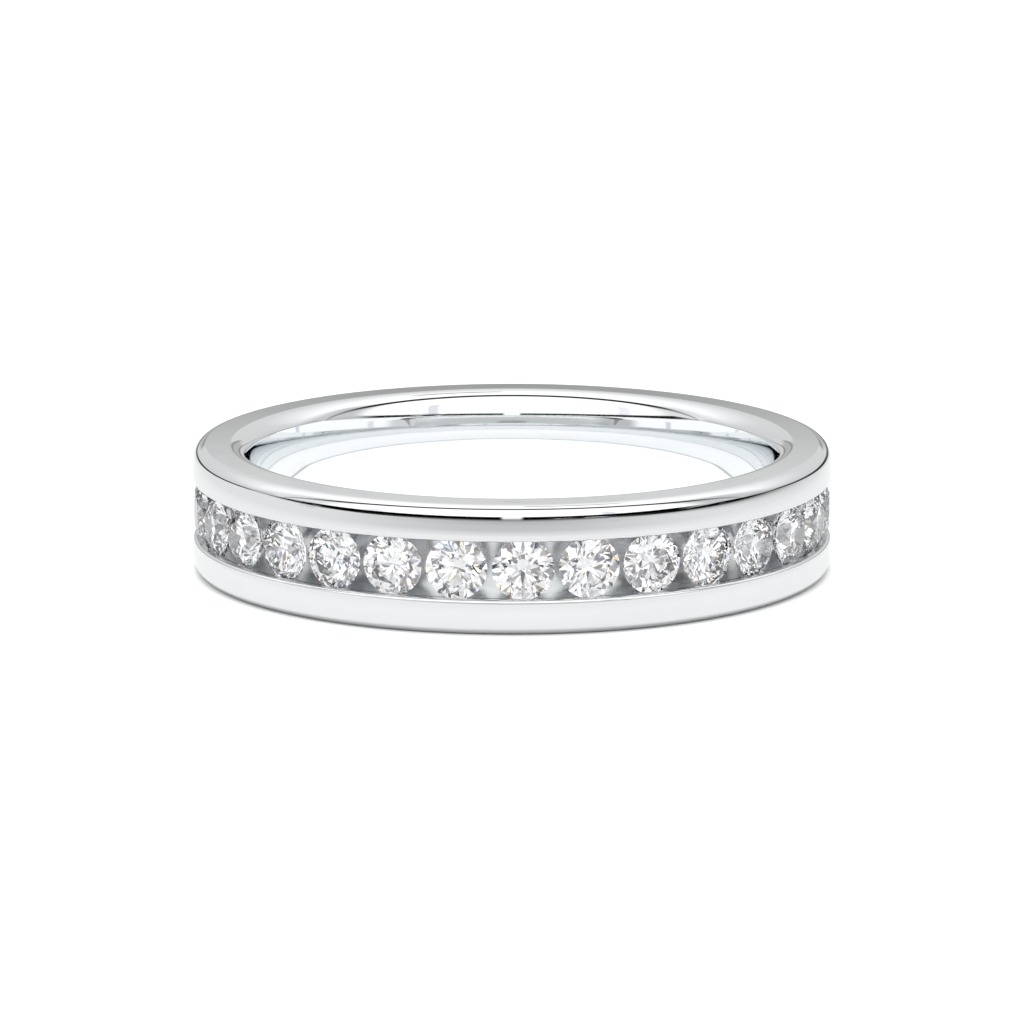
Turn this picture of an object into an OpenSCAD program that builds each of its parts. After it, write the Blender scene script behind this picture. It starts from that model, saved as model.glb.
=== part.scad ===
// Channel set band: a flat-sided ring of white metal with a full circle of round brilliant
// stones held between two rails. The ring lies on its side on Z = 0, with its axis along +Z
// and its front towards -Y. The origin is on the axis, at the bottom.

/* [Finger hole] */
// Diameter of the hole at the middle of the band's width
bore_d = 16.8; // [14:0.1:24]
// Width of the straight middle of the hole's wall, along the finger
bore_flat_w = 0.5; // [0.1:0.1:1]
// Radius of the comfort curve from the straight middle to each side, seen in section
comfort_r = 8.5; // [6:0.5:40]
// Rounding where the hole's wall meets the side faces
bore_edge_r = 0.55; // [0.1:0.05:0.7]

/* [Rails] */
// Width of each rail along the finger, from the side face to the lip over the stones
rail_w = 1.14; // [0.85:0.01:2]
// Radius of the gentle crown across each rail's outer face, seen in section
crown_r = 5.5; // [3:0.5:40]
// Rounding from the crown to the side face
edge_r = 0.38; // [0.1:0.02:0.5]
// Rounding of the lips at the channel's mouth
lip_r = 0.1; // [0.04:0.01:0.15]

/* [Channel] */
// How far each lip reaches over the edge of the stones
lip_hold = 0.06; // [0.03:0.01:0.15]
// How far the point of each seat reaches below the channel's floor
pit_depth = 0.1; // [0.05:0.01:0.3]
// Metal left under the deepest point of each seat
floor_t = 0.59; // [0.2:0.01:1]

/* [Stones] */
// Diameter of a stone at its girdle
stone_d = 1.94; // [1.2:0.02:3]
// Least space between two neighbours' girdles
stone_space = 0.1; // [0.07:0.01:0.5]
// How far the tables lie below the outer wall
table_drop = 0.04; // [0.02:0.01:0.2]
// Clearance between a stone and the metal round it
stone_gap = 0.02; // [0.01:0.005:0.04]
// Angle from the middle of the front to the frontmost stone
front_turn = 2; // [0:0.5:12]
// Turn of each stone about its own axis, counted from the stone before
stone_spin = 47; // [0:1:90]

/* [Cut of the stones] */
// Width of the table as a share of the stone's diameter
table_share = 0.57; // [0.5:0.01:0.65]
// Slope of the crown's main facets
crown_angle = 34.5; // [30:0.5:38]
// Slope of the pavilion's main facets
pavilion_angle = 40.8; // [39:0.2:43]
// Thickness of the girdle as a share of the stone's diameter
girdle_share = 0.03; // [0.02:0.005:0.06]
// Reach of the star facets from the table's edge towards the girdle
star_share = 0.5; // [0.4:0.05:0.6]
// Reach of the lower girdle facets from the girdle towards the point
lower_share = 0.77; // [0.6:0.01:0.85]

/* [Hidden] */
$fn = 96;
// Facets round the comfort curve and the crown, which are far wider than the other arcs
wide_fn = 360;
// Overlap that carries a cut clear of the surface it opens
past = 0.2;

// A brilliant has 8 main facets round it, and 4 girdle points to each of them
mains = 8;
main_step = 360 / mains;
girdle_points = 4 * mains;
point_step = 360 / girdle_points;

stone_r = stone_d / 2;
girdle_t = girdle_share * stone_d;
table_r = table_share * stone_r;
crown_h = (stone_r - table_r) * tan(crown_angle);
pavilion_h = stone_r * tan(pavilion_angle);

// The tips of the star facets lie on the main facets' planes, and so do the lower tips
table_edge_r = table_r * cos(main_step / 2);
star_r = table_edge_r + star_share * (stone_r - table_edge_r);
star_h = (stone_r - star_r * cos(main_step / 2)) * tan(crown_angle);
lower_r = (1 - lower_share) * stone_r;
lower_h = (stone_r - lower_r * cos(main_step / 2)) * tan(pavilion_angle);

// Each seat is a short cylinder round the girdle over a cone under the pavilion
seat_r = stone_r + stone_gap;
seat_half_t = girdle_t / 2 + stone_gap;
seat_cone_h = seat_r * tan(pavilion_angle);

// Radii from the ring's axis outwards
girdle_depth = table_drop + crown_h + girdle_t / 2;
wall_t = girdle_depth + seat_half_t + seat_cone_h + floor_t;
bore_r = bore_d / 2;
outer_r = bore_r + wall_t;
girdle_r = outer_r - girdle_depth;
floor_r = bore_r + floor_t + pit_depth;
groove_floor_r = girdle_r + girdle_t / 2;
groove_roof_r = groove_floor_r + lip_hold * tan(crown_angle) + stone_gap;

// Widths along the ring's axis
mouth_w = stone_d - 2 * lip_hold;
groove_w = 2 * (seat_r + stone_gap / 2);
band_w = mouth_w + 2 * rail_w;

// As many stones as fit round the girdle circle, evenly spaced
stone_count = floor(180 / asin((stone_d + stone_space) / 2 / girdle_r));
stone_step = 360 / stone_count;

// Centres of the arcs of the section, as [radius, height above the middle]
lip_centre = [outer_r - lip_r, mouth_w / 2 + lip_r];
crown_centre = [outer_r - crown_r, mouth_w / 2 + lip_r];
crown_turn = asin((rail_w - lip_r - edge_r) / (crown_r - edge_r));
edge_centre = crown_centre + (crown_r - edge_r) * [cos(crown_turn), sin(crown_turn)];
comfort_centre = [bore_r + comfort_r, bore_flat_w / 2];
bore_edge_turn = 180 - asin(
    (band_w / 2 - bore_edge_r - bore_flat_w / 2) / (comfort_r - bore_edge_r)
);
bore_edge_centre = comfort_centre
    + (comfort_r - bore_edge_r) * [cos(bore_edge_turn), sin(bore_edge_turn)];

function stone_name(i) = str("stone_", i < 10 ? "0" : "", i);

// What lies outside a circle, in the corner between the directions "from" and "to"
module outside_arc(centre, radius, from, to) {
    reach = radius + past;
    middle = (from + to) / 2;
    translate(centre)
        difference() {
            polygon([
                [0, 0],
                reach * [cos(from), sin(from)],
                reach / cos((to - from) / 2) * [cos(middle), sin(middle)],
                reach * [cos(to), sin(to)]
            ]);
            circle(radius);
        }
}

// A strip of the channel's section, from one radius to another
module channel_strip(from_r, to_r, width) {
    translate([from_r, -width / 2])
        square([to_r - from_r, width]);
}

// The channel has straight walls, and a groove in each wall takes the stones' edges
module channel_section() {
    channel_strip(floor_r, outer_r + past, mouth_w);
    channel_strip(groove_floor_r, groove_roof_r, groove_w);
}

// All that lies outside the finger hole: two comfort curves with a straight middle between them
module hole_wall() {
    for (side = [0, 1])
        mirror([0, side])
            translate(comfort_centre)
                circle(comfort_r, $fn = wide_fn);
    translate([bore_r, -bore_flat_w / 2])
        square([comfort_r, bore_flat_w]);
}

module band_section() {
    difference() {
        intersection() {
            translate([bore_r - past, -band_w / 2])
                square([wall_t + past, band_w]);
            hole_wall();
        }
        for (side = [0, 1])
            mirror([0, side]) {
                outside_arc(lip_centre, lip_r, -90, 0);
                outside_arc(crown_centre, crown_r, 0, crown_turn, $fn = wide_fn);
                outside_arc(edge_centre, edge_r, crown_turn, 90);
                outside_arc(bore_edge_centre, bore_edge_r, 90, bore_edge_turn);
            }
        channel_section();
    }
}

// Puts a child made about the origin, looking up, at the place of stone i
module at_stone(i) {
    translate([0, 0, band_w / 2])
        rotate([0, 0, -90 + front_turn + (i - 1) * stone_step])
            translate([girdle_r, 0, 0])
                rotate([0, 90, 0])
                    children();
}

module seat() {
    rotate_extrude()
        polygon([
            [0, -seat_half_t - seat_cone_h],
            [seat_r, -seat_half_t],
            [seat_r, seat_half_t],
            [0, seat_half_t]
        ]);
}

module band() {
    color("silver")
        difference() {
            translate([0, 0, band_w / 2])
                rotate_extrude()
                    band_section();
            for (i = [1:stone_count])
                at_stone(i)
                    seat();
        }
}

// A ring of points at one radius, each "step" degrees on from the last
function ring_of_points(count, radius, height, first = 0) = [
    for (k = [0:count - 1])
        let (turn = first + k * 360 / count)
        [radius * cos(turn), radius * sin(turn), height]
];

// How far a girdle facet's plane bends the girdle's edge halfway between two points
function scallop(tip_r, tip_h) =
    tip_h * stone_r * (1 - cos(point_step)) / ((stone_r - tip_r) * cos(point_step));

// The girdle's edge: every other point is pulled in by the scallop
function girdle_edge(height, pull) = [
    for (k = [0:girdle_points - 1])
        [stone_r * cos(k * point_step), stone_r * sin(k * point_step), height + (k % 2) * pull]
];

// A round brilliant about the middle of its girdle, with its table up
module brilliant() {
    table = ring_of_points(mains, table_r, girdle_t / 2 + crown_h);
    stars = ring_of_points(mains, star_r, girdle_t / 2 + star_h, main_step / 2);
    edge_top = girdle_edge(girdle_t / 2, -scallop(star_r, star_h));
    edge_bottom = girdle_edge(-girdle_t / 2, scallop(lower_r, lower_h));
    lowers = ring_of_points(mains, lower_r, -girdle_t / 2 - lower_h, main_step / 2);
    culet = [[0, 0, -girdle_t / 2 - pavilion_h]];

    // Where each ring starts in the joined list of points
    star_at = mains;
    top_at = star_at + mains;
    bottom_at = top_at + girdle_points;
    lower_at = bottom_at + girdle_points;
    culet_at = lower_at + mains;

    table_face = [[for (i = [mains - 1:-1:0]) i]];
    crown_faces = [
        for (i = [0:mains - 1])
            let (next = (i + 1) % mains, last = (i + mains - 1) % mains)
            let (g = [for (k = [0:4]) top_at + (4 * i + k) % girdle_points])
            each [
                [i, next, star_at + i],
                [i, star_at + i, g[0], star_at + last],
                [star_at + i, g[2], g[1], g[0]],
                [star_at + i, g[4], g[3], g[2]]
            ]
    ];
    girdle_faces = [
        for (k = [0:girdle_points - 1])
            let (next = (k + 1) % girdle_points)
            [top_at + k, top_at + next, bottom_at + next, bottom_at + k]
    ];
    pavilion_faces = [
        for (i = [0:mains - 1])
            let (last = (i + mains - 1) % mains)
            let (g = [for (k = [0:4]) bottom_at + (4 * i + k) % girdle_points])
            each [
                [culet_at, lower_at + last, g[0], lower_at + i],
                [lower_at + i, g[0], g[1], g[2]],
                [lower_at + i, g[2], g[3], g[4]]
            ]
    ];
    polyhedron(
        points = concat(table, stars, edge_top, edge_bottom, lowers, culet),
        faces = concat(table_face, crown_faces, girdle_faces, pavilion_faces)
    );
}

module stone(i) {
    color("aliceblue")
        at_stone(i)
            rotate([0, 0, (i - 1) * stone_spin])
                brilliant();
}

band();
for (i = [1:stone_count])
    stone(i);
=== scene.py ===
"""Channel set band: the looks of the ring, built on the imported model.

The ring lies on its side on Z = 0 with its axis along +Z and its front towards -Y. All lengths are
in metres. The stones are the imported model's own, with a finer material. The band is one new
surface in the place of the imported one, fine enough for a mirror polish.
"""

import math

import bpy
import numpy as np
from bpy.props import FloatProperty, FloatVectorProperty, PointerProperty
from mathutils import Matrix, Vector


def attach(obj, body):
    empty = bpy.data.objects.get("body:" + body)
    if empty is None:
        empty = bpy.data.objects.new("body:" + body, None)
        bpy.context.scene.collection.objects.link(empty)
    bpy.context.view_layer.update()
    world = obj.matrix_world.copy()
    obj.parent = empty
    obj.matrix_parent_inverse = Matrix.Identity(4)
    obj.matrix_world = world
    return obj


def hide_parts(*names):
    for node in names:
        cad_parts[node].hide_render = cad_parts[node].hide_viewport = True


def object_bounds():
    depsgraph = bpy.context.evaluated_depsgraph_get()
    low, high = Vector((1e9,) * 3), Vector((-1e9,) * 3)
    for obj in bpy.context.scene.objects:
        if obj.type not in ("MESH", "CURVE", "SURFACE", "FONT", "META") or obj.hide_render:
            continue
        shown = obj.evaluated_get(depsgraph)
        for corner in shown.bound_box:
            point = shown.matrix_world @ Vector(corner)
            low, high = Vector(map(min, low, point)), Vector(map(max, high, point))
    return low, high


bl_info = {
    "name": "Channel set band",
    "version": (1, 0, 0),
    "blender": (4, 5, 0),
    "location": "3D View > Sidebar > Band",
    "description": "A polished band with a full circle of round brilliants in a channel",
    "category": "Object",
}

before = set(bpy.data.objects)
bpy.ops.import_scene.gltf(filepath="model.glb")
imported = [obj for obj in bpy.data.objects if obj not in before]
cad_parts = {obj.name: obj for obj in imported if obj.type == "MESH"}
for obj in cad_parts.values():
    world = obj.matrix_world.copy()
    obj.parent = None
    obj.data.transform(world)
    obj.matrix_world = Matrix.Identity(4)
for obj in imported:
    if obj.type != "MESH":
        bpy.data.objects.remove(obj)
CAD_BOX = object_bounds()
STONES = sorted(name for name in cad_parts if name.startswith("stone_"))


# Millimetres in a metre, for the patterns and masks that are laid out in millimetres
MM = 1000


def length(name, description, default):
    return FloatProperty(name=name, description=description, default=default, unit="LENGTH",
                         precision=6)


def angle(name, description, degrees):
    return FloatProperty(name=name, description=description, default=math.radians(degrees),
                         subtype="ANGLE")


def share(name, description, default):
    return FloatProperty(name=name, description=description, default=default, min=0, max=1,
                         subtype="FACTOR", precision=4)


def colour(name, description, default):
    return FloatVectorProperty(name=name, description=description, default=default, min=0, max=1,
                               size=3, subtype="COLOR")


class BandSizes(bpy.types.PropertyGroup):
    """The sizes of the metal, as in the part's source but for the polish on the rails' faces"""

    hole_d: length("Hole", "Diameter of the finger hole at the middle of the width", 0.0168)
    hole_flat_w: length("Hole middle", "Width of the straight middle of the hole's wall", 0.0005)
    comfort_r: length("Comfort curve", "Radius of the curve from the middle to each side", 0.0085)
    hole_edge_r: length("Hole edge", "Rounding where the hole meets the side faces", 0.00055)
    rail_w: length("Rail", "Width of each rail from side face to lip", 0.00114)
    crown_r: length("Rail crown", "Radius of the crown across a rail's outer face", 0.0044)
    rail_edge_r: length("Rail edge", "Rounding from the crown to the side face", 0.00038)
    lip_r: length("Lip", "Rounding of the lips at the channel's mouth", 0.0001)
    lip_soft_r: length("Soft lip", "Radius of the polished fall from the crown to the lip", 0.0012)
    lip_soft_turn: angle("Soft lip turn", "Turn of the soft lip before the lip's own arc", 6.6)
    lip_hold: length("Lip hold", "Reach of each lip over the stones' edges", 0.00006)
    pit_depth: length("Pit", "Reach of each seat's point below the channel's floor", 0.0001)
    floor_t: length("Floor", "Metal left under the deepest point of each seat", 0.00059)


class StoneSizes(bpy.types.PropertyGroup):
    """The sizes of the stones and their seats, as in the part's source"""

    stone_d: length("Stone", "Diameter of a stone at its girdle", 0.00194)
    table_drop: length("Table drop", "Depth of the tables below the outer wall", 0.00004)
    gap: length("Clearance", "Space between a stone and the metal round it", 0.00002)
    space: length("Stone space", "Least space between two neighbours' girdles", 0.0001)
    front_turn: angle("Front turn", "From the middle of the front to the frontmost stone", 2)
    table_share: share("Table", "Width of the table as a share of the diameter", 0.57)
    girdle_share: share("Girdle", "Thickness of the girdle as a share of the diameter", 0.03)
    crown_angle: angle("Crown angle", "Slope of the crown's main facets", 34.5)
    pavilion_angle: angle("Pavilion angle", "Slope of the pavilion's main facets", 40.8)


class Finishes(bpy.types.PropertyGroup):
    """The colours and surfaces of the metal and the stones"""

    metal: colour("Metal", "Colour of the polished white metal", (0.845, 0.860, 0.868))
    metal_worn: colour("Worn metal", "Colour of the metal where handling has dulled it",
                       (0.79, 0.805, 0.815))
    polish: share("Polish", "Roughness of the clean polish", 0.03)
    dull: share("Dulling", "Roughness where fine scratches gather", 0.11)
    seat_dull: share("Channel", "Extra roughness of the channel and the seats", 0.24)
    scratch_depth: length("Scratches", "Depth of the fine scratches", 0.0000004)
    stone: colour("Stone", "Body colour of the diamonds", (0.985, 0.99, 1.0))
    stone_index: FloatProperty(name="Index", description="Refractive index of the stones",
                               default=2.417, min=1, max=3)


class StageSizes(bpy.types.PropertyGroup):
    """The camera, the floor and the light"""

    camera_distance: length("Distance", "From the camera to the middle of the ring", 0.25)
    camera_height: angle("Elevation", "Of the camera above the floor", 11.82)
    camera_drop: length("Aim", "How far below the ring's middle the camera aims", 0.000256)
    lens: FloatProperty(name="Lens", description="Focal length in millimetres", default=273.2)
    floor_w: length("Floor", "Width of the floor", 4.0)
    floor: colour("Floor colour", "Colour of the floor", (0.93, 0.93, 0.93))
    # Painted light: an even emission on the floor for the camera, cut to a painted shadow at the
    # foot of the rail
    floor_glow: share("Floor light", "Extra light on the floor as the camera sees it", 0.28)
    light: FloatProperty(name="Light", description="Strength of the light from above",
                         default=1.0, min=0)


class Value:
    """A number in a shader tree. Arithmetic on it adds the Math nodes that work it out."""

    def __init__(self, shader, socket):
        self.shader = shader
        self.socket = socket

    def math(self, operation, *others, clamp=False):
        sockets = dict(enumerate((self, *others)))
        return self.shader.node("ShaderNodeMath", {"operation": operation, "use_clamp": clamp},
                                sockets)

    def __add__(self, other):
        return self.math("ADD", other)

    def __sub__(self, other):
        return self.math("SUBTRACT", other)

    def __rsub__(self, other):
        return (self * -1) + other

    def __mul__(self, other):
        return self.math("MULTIPLY", other)

    def __truediv__(self, other):
        return self.math("DIVIDE", other)

    def __pow__(self, other):
        return self.math("POWER", other)

    __radd__ = __add__
    __rmul__ = __mul__

    def clamped(self):
        return self.math("ADD", 0, clamp=True)

    def rise(self, start, end):
        """A smooth step from 0 at start to 1 at end."""
        return self.shader.node("ShaderNodeMapRange", {"interpolation_type": "SMOOTHSTEP"},
                                {"Value": self, "From Min": start, "From Max": end})

    def span(self, start, full, fade, end):
        """1 between full and fade, with a smooth step from 0 on either side."""
        return self.rise(start, full) * (1 - self.rise(fade, end))

    def toward(self, other, part):
        """The way from this number to the other, by the given part of it."""
        return self + (other - self) * part


class Shader:
    """A node tree under construction."""

    def __init__(self, tree):
        self.tree = tree
        tree.nodes.clear()

    def node(self, kind, settings=None, sockets=None, out=0):
        """Adds a node, sets it, then fills its sockets with values or links. Gives one output."""
        made = self.tree.nodes.new(kind)
        for name, setting in (settings or {}).items():
            if name == "stops":
                self.fill_ramp(made.color_ramp, setting)
            else:
                setattr(made, name, setting)
        for name, value in (sockets or {}).items():
            if isinstance(value, Value):
                self.tree.links.new(value.socket, made.inputs[name])
            else:
                made.inputs[name].default_value = value
        return Value(self, made.outputs[out]) if made.outputs else made

    @staticmethod
    def fill_ramp(ramp, stops):
        """Stops are (place, colour), from the lowest place up."""
        while len(ramp.elements) < len(stops):
            ramp.elements.new(1)
        for element, (place, tone) in zip(ramp.elements, stops):
            element.position = place
            element.color = (*tone, 1) if isinstance(tone, tuple) else (tone, tone, tone, 1)

    def coordinates(self, output="Object"):
        return self.node("ShaderNodeTexCoord", out=output)

    def parts(self, vector):
        """The x, y and z of a vector."""
        split = self.node("ShaderNodeSeparateXYZ", sockets={0: vector})
        return [Value(self, end) for end in split.socket.node.outputs]

    def mix(self, share_of_second, first, second):
        """A colour between two."""
        made = self.node("ShaderNodeMix", {"data_type": "RGBA"}).socket.node
        for place, value in ((0, share_of_second), (6, first), (7, second)):
            if isinstance(value, Value):
                self.tree.links.new(value.socket, made.inputs[place])
            elif place:
                made.inputs[place].default_value = (*value, 1)
            else:
                made.inputs[place].default_value = value
        return Value(self, made.outputs[2])

    def noise(self, vector, scale, detail=2.0, roughness=0.5):
        return self.node("ShaderNodeTexNoise", sockets={
            "Vector": vector, "Scale": scale, "Detail": detail, "Roughness": roughness})


def new_material(name):
    made = bpy.data.materials.new(name)
    made.use_nodes = True
    return made, Shader(made.node_tree)


def polished_white_metal(look, cut):
    """Mirror polish with faint dull patches and hair-fine scratches that run round the band.

    The cut seats and the channel between them are left a little duller than the outside.
    """
    made, shader = new_material("polished white metal")
    place = shader.coordinates()
    x, y, z = shader.parts(place)
    around = y.math("ARCTAN2", x)
    radius = (x * x + y * y) ** 0.5

    # The ring unrolled: round the band, out from its axis, and along its axis, in millimetres
    unrolled = shader.node("ShaderNodeCombineXYZ", sockets={
        0: around * 10, 1: radius * MM, 2: z * MM})
    hairs = shader.node("ShaderNodeMapping", sockets={0: unrolled, "Scale": (0.6, 40, 40)})
    hair = shader.noise(hairs, 1.0, 2.0).rise(0.60, 0.74)
    patches = shader.noise(place, 260, 3.0, 0.55).rise(0.48, 0.72)
    worn = (hair * patches * 0.8 + patches * 0.12).clamped()
    ripple = shader.noise(place, 900, 2.0, 0.4)


    # Outside the metal's thinnest part and between the rails lie the channel and its seats
    under_seats, mouth_half = cut.hole_r * MM + 0.3, cut.mouth_half * MM
    across = (z * MM - cut.half_w * MM).math("ABSOLUTE")
    channel = (radius * MM).rise(under_seats, under_seats + 0.1) * (
        1 - across.rise(mouth_half, mouth_half + 0.02))

    relief = ripple * (look.scratch_depth * 0.35) - hair * patches * look.scratch_depth
    normal = shader.node("ShaderNodeBump", sockets={
        "Strength": 1.0, "Distance": 1.0, "Height": relief})
    surface = shader.node("ShaderNodeBsdfPrincipled", sockets={
        "Base Color": shader.mix(worn, tuple(look.metal), tuple(look.metal_worn)),
        "Metallic": 1.0,
        "Roughness": worn * (look.dull - look.polish) + channel * look.seat_dull + look.polish,
        "Normal": normal,
    })
    shader.node("ShaderNodeOutputMaterial", sockets={"Surface": surface})
    return made


def cut_diamond(look):
    """Clear cut stone."""
    made, shader = new_material("cut diamond")
    surface = shader.node("ShaderNodeBsdfPrincipled", sockets={
        "Base Color": (*look.stone, 1),
        "Transmission Weight": 1.0,
        "IOR": look.stone_index,
        "Roughness": 0.0,
    })
    shader.node("ShaderNodeOutputMaterial", sockets={"Surface": surface})
    return made


class Section:
    """The band's section from the sizes: radii, and heights above the middle of the width."""

    def __init__(self, band, stones):
        stone_r = stones.stone_d / 2
        girdle_t = stones.girdle_share * stones.stone_d
        crown_h = (stone_r * (1 - stones.table_share)) * math.tan(stones.crown_angle)
        self.seat_r = stone_r + stones.gap
        self.seat_half_t = girdle_t / 2 + stones.gap
        self.seat_cone_h = self.seat_r * math.tan(stones.pavilion_angle)
        depth = stones.table_drop + crown_h + girdle_t / 2
        self.hole_r = band.hole_d / 2
        self.outer_r = (self.hole_r + depth + self.seat_half_t + self.seat_cone_h
                        + band.floor_t)
        self.girdle_r = self.outer_r - depth
        self.floor_r = self.hole_r + band.floor_t + band.pit_depth
        self.groove_floor_r = self.girdle_r + girdle_t / 2
        self.groove_roof_r = (self.groove_floor_r + band.lip_hold * math.tan(stones.crown_angle)
                              + stones.gap)
        self.mouth_half = stone_r - band.lip_hold
        self.groove_half = self.seat_r + stones.gap / 2
        self.half_w = self.mouth_half + band.rail_w
        self.count = math.floor(math.pi / math.asin(
            (stones.stone_d + stones.space) / 2 / self.girdle_r))
        self.first_turn = stones.front_turn - math.pi / 2


def line(start, end, shares):
    """Points on a straight line at the given shares of it, with the normal on its right."""
    start, end = np.array(start), np.array(end)
    along = (end - start) / np.linalg.norm(end - start)
    points = start + np.outer(shares, end - start)
    return points, np.tile([along[1], -along[0]], (len(points), 1))


def arc(centre, radius, from_turn, to_turn, steps, outward=1):
    """Points centre + radius (cos, sin) between two angles in degrees, with normals along them.

    The steps grow from both ends to the middle, so that the arc blends with its neighbours.
    """
    even = np.linspace(0, 1, steps + 1)
    eased = even - 0.35 * np.sin(2 * np.pi * even) / (2 * np.pi)
    turns = np.radians(from_turn + (to_turn - from_turn) * eased)
    ways = np.stack([np.cos(turns), np.sin(turns)], axis=1)
    return np.array(centre) + radius * ways, outward * ways


def half_profile(cut, band):
    """The upper half of the band's section, from the channel's floor round to the hole's wall.

    A list of runs, each an array of (radius, height) points and one of their normals. Runs meet
    in a corner where their normals differ, and blend where they agree.
    """
    soft_reach = band.lip_soft_r - band.lip_r
    soft_centre = (cut.outer_r - band.lip_soft_r,
                   cut.mouth_half + band.lip_r + soft_reach * math.sin(band.lip_soft_turn))
    lip_centre = (soft_centre[0] + soft_reach * math.cos(band.lip_soft_turn),
                  cut.mouth_half + band.lip_r)
    soft_turn = math.degrees(band.lip_soft_turn)
    crown_centre = (cut.outer_r - band.crown_r, soft_centre[1])
    reach = band.crown_r - band.rail_edge_r
    crown_turn = math.degrees(math.asin((cut.half_w - band.rail_edge_r - soft_centre[1]) / reach))
    edge_centre = (crown_centre[0] + reach * math.cos(math.radians(crown_turn)),
                   cut.half_w - band.rail_edge_r)
    flat_half = band.hole_flat_w / 2
    comfort_centre = (cut.hole_r + band.comfort_r, flat_half)
    inner_reach = band.comfort_r - band.hole_edge_r
    hole_turn = 180 - math.degrees(math.asin(
        (cut.half_w - band.hole_edge_r - flat_half) / inner_reach))
    hole_edge_centre = (comfort_centre[0] + inner_reach * math.cos(math.radians(hole_turn)),
                        cut.half_w - band.hole_edge_r)

    seat_low = cut.girdle_r - cut.seat_half_t
    below = (cut.groove_floor_r - cut.floor_r)
    # Rows lie closest where the seats open the walls, and at the ends of the flat side faces
    wall_shares = np.array([0, 0.4, 0.75, 0.83, 0.87, (seat_low - cut.floor_r) / below, 0.95, 1])
    end_share = 0.012
    ends = [0, end_share, 1 - end_share, 1]
    mouth, groove = cut.mouth_half, cut.groove_half
    return [
        line((cut.floor_r, 0), (cut.floor_r, mouth), [0, 0.065, 0.13, 0.5, 1]),
        line((cut.floor_r, mouth), (cut.groove_floor_r, mouth), wall_shares),
        line((cut.groove_floor_r, mouth), (cut.groove_floor_r, groove), [0, 1]),
        line((cut.groove_floor_r, groove), (cut.groove_roof_r, groove), [0, 1]),
        line((cut.groove_roof_r, groove), (cut.groove_roof_r, mouth), [0, 1]),
        line((cut.groove_roof_r, mouth), (lip_centre[0], mouth), [0, 1]),
        arc(lip_centre, band.lip_r, -90, -soft_turn, 6),
        arc(soft_centre, band.lip_soft_r, -soft_turn, 0, 4),
        arc(crown_centre, band.crown_r, 0, crown_turn, 6),
        arc(edge_centre, band.rail_edge_r, crown_turn, 90, 22),
        line((edge_centre[0], cut.half_w), (hole_edge_centre[0], cut.half_w), ends),
        arc(hole_edge_centre, band.hole_edge_r, 90, hole_turn, 17),
        arc(comfort_centre, band.comfort_r, hole_turn, 180, 9),
        line((cut.hole_r, flat_half), (cut.hole_r, 0), [0, 1]),
    ]


def seat_cuts(cut, radius, height, turns):
    """Moves the channel's floor and walls out to the stones' seats.

    Each seat is a cylinder about its stone's axis over a cone that points inwards. A point of a
    wall at height h above the girdle and t along the ring moves out to where the seat's radius
    rho gives sqrt(rho^2 - t^2), and a point of the floor sinks to the cone's surface.
    """
    step = 2 * np.pi / cut.count
    off = np.mod(turns - cut.first_turn + step / 2, step) - step / 2
    t = radius * np.sin(off)
    h = radius * np.cos(off) - cut.girdle_r
    cone_share = 1 + (h + cut.seat_half_t) / cut.seat_cone_h
    rho = cut.seat_r * np.clip(np.minimum(cone_share, 1), 0, 1) * (h < cut.seat_half_t)
    in_wall = ((radius < cut.groove_floor_r + 1e-7)
               & (np.abs(np.abs(height) - cut.mouth_half) < 1e-7))
    moved = np.sqrt(np.maximum(rho ** 2 - t ** 2, 0))
    new_height = np.where(in_wall & (moved > np.abs(height)), np.sign(height) * moved, height)

    on_floor = np.abs(radius - cut.floor_r) < 1e-7
    out = np.hypot(cut.floor_r * np.sin(off), height) / cut.seat_r
    depth = cut.girdle_r - cut.seat_half_t - cut.seat_cone_h * (1 - out)
    sunk = np.minimum(radius, depth / np.cos(off))
    return np.where(on_floor, sunk, radius), new_height


def turned_surface(name, runs, columns, shape=None):
    """A closed section turned about the ring's axis, as one closed mesh with exact normals.

    The section is a loop of runs of (radius, height) points. At the angle a round the axis each
    point stands at (radius cos a, radius sin a, height), and shape may move it first.
    """
    points = np.concatenate([run[0][:-1] for run in runs])
    start = np.concatenate([run[1][:-1] for run in runs])
    end = np.concatenate([run[1][1:] for run in runs])
    rows = len(points)
    turns = np.arange(columns) * 2 * np.pi / columns

    radius = np.repeat(points[:, :1], columns, axis=1)
    height = np.repeat(points[:, 1:], columns, axis=1)
    if shape:
        new_radius, new_height = shape(radius, height, turns[None, :])
    else:
        new_radius, new_height = radius, height
    moved = (np.abs(new_radius - radius) + np.abs(new_height - height)) > 1e-8
    vertices = np.stack([new_radius * np.cos(turns), new_radius * np.sin(turns), new_height],
                        axis=2).reshape(-1, 3)

    row, column = np.meshgrid(np.arange(rows), np.arange(columns), indexing="ij")
    next_row, next_column = (row + 1) % rows, (column + 1) % columns
    corners = [(row, column), (row, next_column), (next_row, next_column), (next_row, column)]
    faces = np.stack([a * columns + b for a, b in corners], axis=2).reshape(-1, 4)

    def ways(normals, at):
        return np.stack([normals[:, :1] * np.cos(turns[at]), normals[:, :1] * np.sin(turns[at]),
                         np.repeat(normals[:, 1:], columns, axis=1)], axis=2)

    normals = np.stack([ways(start, column), ways(start, next_column), ways(end, next_column),
                        ways(end, column)], axis=2).reshape(-1, 4, 3)
    normals[moved.reshape(-1)[faces].any(axis=1)] = 0

    mesh = bpy.data.meshes.new(name)
    mesh.from_pydata(vertices, [], faces)
    mesh.shade_smooth()
    mesh.normals_split_custom_set(normals.reshape(-1, 3).astype(np.float32))
    made = bpy.data.objects.new(name, mesh)
    bpy.context.scene.collection.objects.link(made)
    return made


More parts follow.
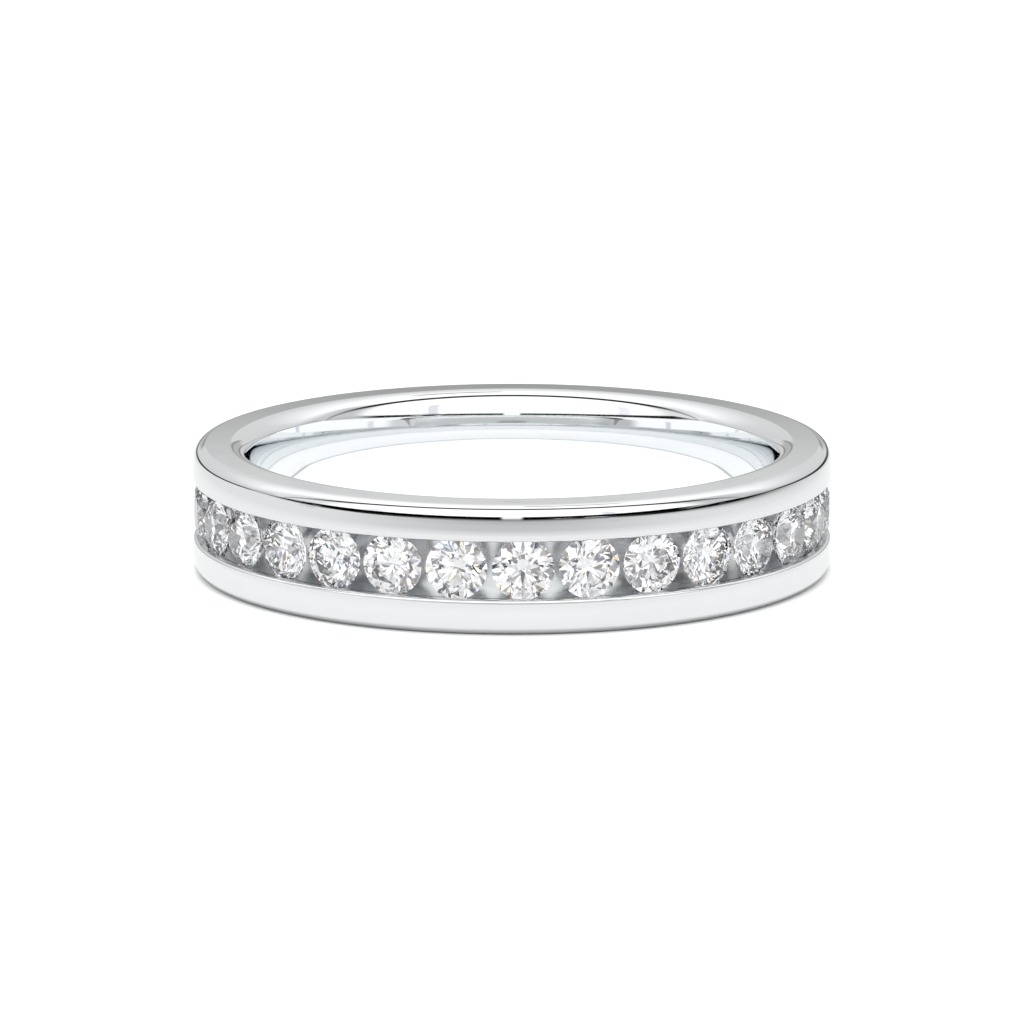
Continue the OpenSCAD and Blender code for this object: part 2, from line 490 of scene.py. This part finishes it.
class BAND_OT_polished_band(bpy.types.Operator):
    """Makes the polished metal band with its channel, grooves and seats"""

    bl_idname = "channel_band.polished_band"
    bl_label = "Polished band"

    def execute(self, context):
        scene = context.scene
        cut = Section(scene.band_sizes, scene.stone_sizes)
        upper = half_profile(cut, scene.band_sizes)
        flip = np.array([1, -1])
        lower = [(points[::-1] * flip, normals[::-1] * flip) for points, normals in upper[::-1]]
        runs = [(points + [0, cut.half_w], normals) for points, normals in upper + lower]

        def shape(radius, height, turns):
            new_radius, new_height = seat_cuts(cut, radius, height - cut.half_w, turns)
            return new_radius, new_height + cut.half_w

        band = turned_surface("polished_band", runs, 600, shape)
        band.data.materials.append(polished_white_metal(scene.finishes, cut))
        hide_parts("band")
        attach(band, "root")
        return {"FINISHED"}


class BAND_OT_diamonds(bpy.types.Operator):
    """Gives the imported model's stones their diamond material"""

    bl_idname = "channel_band.diamonds"
    bl_label = "Diamonds"

    def execute(self, context):
        diamond = cut_diamond(context.scene.finishes)
        for name in STONES:
            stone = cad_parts[name]
            stone.data.materials.clear()
            stone.data.materials.append(diamond)
        return {"FINISHED"}


# The ceiling's brightness by strip angle: degrees from the back horizon, over the top, towards
# the camera's side
CEILING = [(12, 0.73), (29, 0.78), (48, 0.98), (62, 1.15), (75, 1.35), (180, 1.35)]

# Parts of the tent in degrees: where each begins, is full, fades and ends
SIDE_STRIPS = (62, 76, 92, 112)
RIGHT_SLIT = (31.5, 33.5, 36.5, 38.5)
LEFT_SLIT = (46, 49, 52, 55)
SEAM = (94.5, 97, 108, 110.5)
SHORT_SEAM = (64.5, 66.5, 69.5, 71.5)

# Where the tent's lower edge ends in height, and the half width of the gap in it at the front
TENT_EDGE = (3.25, 3.5)
FRONT_GAP = (2.6, 4.4)

# Distances on the floor from the ring's axis, in millimetres, of the light and shade painted on
# the floor: the edge of the painted light in the hole, the painted shadow under the rail, the
# painted brightest floor round it, and the end of the painted pool of light
PAINTED_HOLE_LIGHT = (8.6, 9.2)
PAINTED_RAIL_SHADOW = (10.05, 10.35)
PAINTED_BRIGHTEST = (11.5, 15)
PAINTED_POOL = (19, 36)


def studio_light(world, strength):
    """A white tent round the ring, by direction.

    The angles are in degrees: strip from the back horizon over the top to the front, height above
    the horizon, and side from straight ahead, to +X. The ceiling follows CEILING, less a dark
    patch at the back, greyer strips and slits at the sides, and two seams across it. Under the
    tent's lower edge lies a dark line, which fades to a grey dusk near the floor.
    """
    shader = Shader(world.node_tree)
    x, y, z = shader.parts(shader.coordinates("Generated"))
    to_degrees = 180 / math.pi
    strip = z.math("ARCTAN2", y) * to_degrees
    height = z.math("ARCSINE") * to_degrees
    side = x.math("ARCTAN2", y * -1) * to_degrees
    other_side = side * -1
    away = side.math("ABSOLUTE")

    brightest = max(tone for _, tone in CEILING)
    ramp = shader.node("ShaderNodeValToRGB", {"stops": [
        (place / 180, tone / brightest) for place, tone in CEILING]}, {0: strip / 180})
    ceiling = shader.parts(ramp)[0] * brightest
    patch = (1 - strip.rise(11.6, 12.2)) * away.rise(164, 172)
    back = strip.rise(10.6, 11.7) * 0.43 + 0.30 + (1 - strip.rise(9.4, 10.4)) * 0.2
    sky = ceiling.toward(back, patch)

    strips = away.span(*SIDE_STRIPS) * (1 - height.rise(40, 60)) * (side.rise(-1, 1) * 0.15 + 0.35)
    slits = (side.span(*RIGHT_SLIT) * 0.28 + other_side.span(*LEFT_SLIT) * 0.20) * (
        1 - height.rise(18, 30))
    seam = strip.span(*SEAM) * (0.97 - x.math("ABSOLUTE").rise(0.70, 0.95) * 0.5)
    short_seam = strip.span(*SHORT_SEAM) * x.span(0.015, 0.03, 0.20, 0.27)
    sky = sky * (1 - strips - slits) * (1 - (seam + short_seam).clamped())

    # The dark line: a grey that sinks to black with height, greyer at the sides and the back
    dusk = ((1 - away.rise(15, 62)) * 0.43 - height * 0.33).clamped()
    dusk = dusk.toward(0.6, side.span(60, 74, 100, 115) + other_side.span(74, 92, 100, 115))
    dusk = dusk.toward(0.07, away.rise(105, 118)).toward(0.30, away.rise(150, 166))
    dusk = dusk.toward(height.rise(1.1, 3.0) * 0.95 + 0.36, 1 - away.rise(*FRONT_GAP))
    tone = sky.toward(dusk, 1 - height.rise(*TENT_EDGE))

    # The stones see the tent broken up by small dark and coloured patches, as fire
    in_stone = shader.node("ShaderNodeLightPath", out="Is Transmission Ray")
    direction = shader.coordinates("Generated")
    broken = 1 - shader.noise(direction, 7.0, 1.0).rise(0.45, 0.49)
    tone = tone * (1 + in_stone * (0.32 - broken * 1.14))
    hue = shader.noise(direction, 12.0, 0.0)
    faint = shader.mix(hue.rise(0.44, 0.56), (0.85, 0.90, 1.0), (1.0, 0.93, 0.89))
    warm = hue.span(0.61, 0.625, 0.655, 0.67)
    cool = hue.span(0.33, 0.345, 0.375, 0.39)
    fire = shader.mix(cool, shader.mix(warm, faint, (1.0, 0.78, 0.55)), (0.60, 0.72, 1.0))
    tint = shader.mix(in_stone, (1.0, 1.0, 1.0), fire)

    light = shader.node("ShaderNodeBackground", sockets={
        "Color": shader.mix(slits, tint, (0.80, 0.80, 1.0)),
        "Strength": tone * strength})
    seen = shader.node("ShaderNodeLightPath", out="Is Camera Ray")
    plain = shader.node("ShaderNodeBackground", sockets={"Color": (1, 1, 1, 1), "Strength": 1.0})
    both = shader.node("ShaderNodeMixShader", sockets={0: seen, 1: light, 2: plain})
    shader.node("ShaderNodeOutputWorld", sockets={"Surface": both})


def pale_floor(sizes):
    """Matt white card with a faint fibre under the light from above, with a painted pool of light.

    Seen in the metal, the card is painted brightest in the hole and round the ring. This painted
    light greys slowly towards the front and is painted dark beyond a sector that opens towards
    the camera. The camera itself sees it evenly bright, with the ring's soft shadow and a painted
    shadow at the foot of the rail.
    """
    made, shader = new_material("pale floor")
    place = shader.coordinates()
    x, y, _ = shader.parts(place)
    x, y = x * MM, y * MM
    distance = (x * x + y * y) ** 0.5
    # Painted light for the metal: a pool of light round the ring, brightest at the rail and in the
    # hole, greying towards the front and painted dark beyond a sector towards the camera
    ahead = ((y / distance * -1 - 0.2) / 0.8).clamped() ** 2
    painted_falloff = 0.92 - ahead * (0.24 + distance.rise(40, 110) * 0.08 + distance.rise(120, 800) * 0.17)
    tone = painted_falloff.toward(1.05, 1 - distance.rise(*PAINTED_POOL))
    tone = tone.toward(1.17, 1 - distance.rise(*PAINTED_BRIGHTEST))
    painted_dark_wedge = (x + 30).math("ABSOLUTE") + y * 0.65
    tone = tone * (1 - painted_dark_wedge.rise(60, 150))
    # Painted light in the hole, and a painted shadow at the foot of the rail where the card's
    # emission is cut away
    hole_painted_light = 1 - distance.rise(*PAINTED_HOLE_LIGHT)
    clear = distance.rise(*PAINTED_RAIL_SHADOW) + hole_painted_light

    fibre = shader.noise(place, 900, 3.0) * 0.012 + 0.988
    seen = shader.node("ShaderNodeLightPath", out="Is Camera Ray")
    # Camera rays see the plain card; rays from the metal see the painted pool of light in its
    # colour
    matt = (tone * 0.6).toward(1.0, seen).clamped() * fibre
    # The card's emission is painted light: for the metal it adds to the painted pool and is raised
    # in the hole, for the camera it is an even brightening, and both are cut to a painted shadow
    # at the foot of the rail
    painted_glow = (tone * 0.38 + hole_painted_light * 0.3).toward(sizes.floor_glow, seen) * clear * fibre
    card = shader.node("ShaderNodeBsdfDiffuse", sockets={
        "Color": shader.mix(matt, (0, 0, 0), tuple(sizes.floor))})
    painted_glow_shader = shader.node("ShaderNodeEmission", sockets={"Strength": painted_glow})
    both = shader.node("ShaderNodeAddShader", sockets={0: card, 1: painted_glow_shader})
    shader.node("ShaderNodeOutputMaterial", sockets={"Surface": both})
    return made


class BAND_OT_stage(bpy.types.Operator):
    """Makes the floor, the light and the camera"""

    bl_idname = "channel_band.stage"
    bl_label = "Stage"

    def execute(self, context):
        scene = context.scene
        sizes = scene.stage_sizes
        self.add_floor(scene, sizes)
        world = bpy.data.worlds.new("soft studio light")
        scene.world = world
        world.use_nodes = True
        studio_light(world, sizes.light)
        self.add_camera(scene, sizes)
        scene.view_settings.view_transform = "Standard"
        scene.cycles.max_bounces = 12
        scene.cycles.transmission_bounces = 10
        scene.cycles.glossy_bounces = 8
        scene.cycles.use_denoising = True
        return {"FINISHED"}

    @staticmethod
    def add_floor(scene, sizes):
        """A flat square: its points are the corners of -1 to 1 in both directions, scaled."""
        side = np.array([-1, 1]) * sizes.floor_w / 2
        x, y = np.meshgrid(side, side)
        mesh = bpy.data.meshes.new("floor")
        mesh.from_pydata(np.stack([x.ravel(), y.ravel(), np.zeros(4)], axis=1), [], [(0, 1, 3, 2)])
        floor = bpy.data.objects.new("floor", mesh)
        scene.collection.objects.link(floor)
        mesh.materials.append(pale_floor(sizes))

    @staticmethod
    def add_camera(scene, sizes):
        camera = bpy.data.objects.new("camera", bpy.data.cameras.new("camera"))
        scene.collection.objects.link(camera)
        half_w = (CAD_BOX[0][2] + CAD_BOX[1][2]) / 2
        target = Vector((0, 0, half_w - sizes.camera_drop))
        away = Vector((0, -math.cos(sizes.camera_height), math.sin(sizes.camera_height)))
        camera.location = target + away * sizes.camera_distance
        camera.rotation_euler = away.to_track_quat("Z", "Y").to_euler()
        camera.data.lens = sizes.lens
        camera.data.sensor_width = 36
        camera.data.clip_start = 0.01
        camera.data.clip_end = 10
        scene.camera = camera


class BAND_PT_sizes(bpy.types.Panel):
    """Lists the band's sizes and finishes, and the steps that make it"""

    bl_idname = "BAND_PT_sizes"
    bl_label = "Channel set band"
    bl_space_type = "VIEW_3D"
    bl_region_type = "UI"
    bl_category = "Band"

    def draw(self, context):
        layout = self.layout
        for name, group in GROUPS.items():
            box = layout.box()
            for size in group.__annotations__:
                box.prop(getattr(context.scene, name), size)
        for step in STEPS:
            layout.operator(step.bl_idname)


GROUPS = {
    "band_sizes": BandSizes,
    "stone_sizes": StoneSizes,
    "finishes": Finishes,
    "stage_sizes": StageSizes,
}
STEPS = (BAND_OT_stage, BAND_OT_polished_band, BAND_OT_diamonds)


def register():
    for made in (*GROUPS.values(), *STEPS, BAND_PT_sizes):
        bpy.utils.register_class(made)
    for name, group in GROUPS.items():
        setattr(bpy.types.Scene, name, PointerProperty(type=group))


def unregister():
    for name in GROUPS:
        delattr(bpy.types.Scene, name)
    for made in (BAND_PT_sizes, *reversed(STEPS), *reversed(GROUPS.values())):
        bpy.utils.unregister_class(made)


def main():
    register()
    bpy.ops.channel_band.stage()
    bpy.ops.channel_band.polished_band()
    bpy.ops.channel_band.diamonds()


if __name__ == "__main__":
    main()
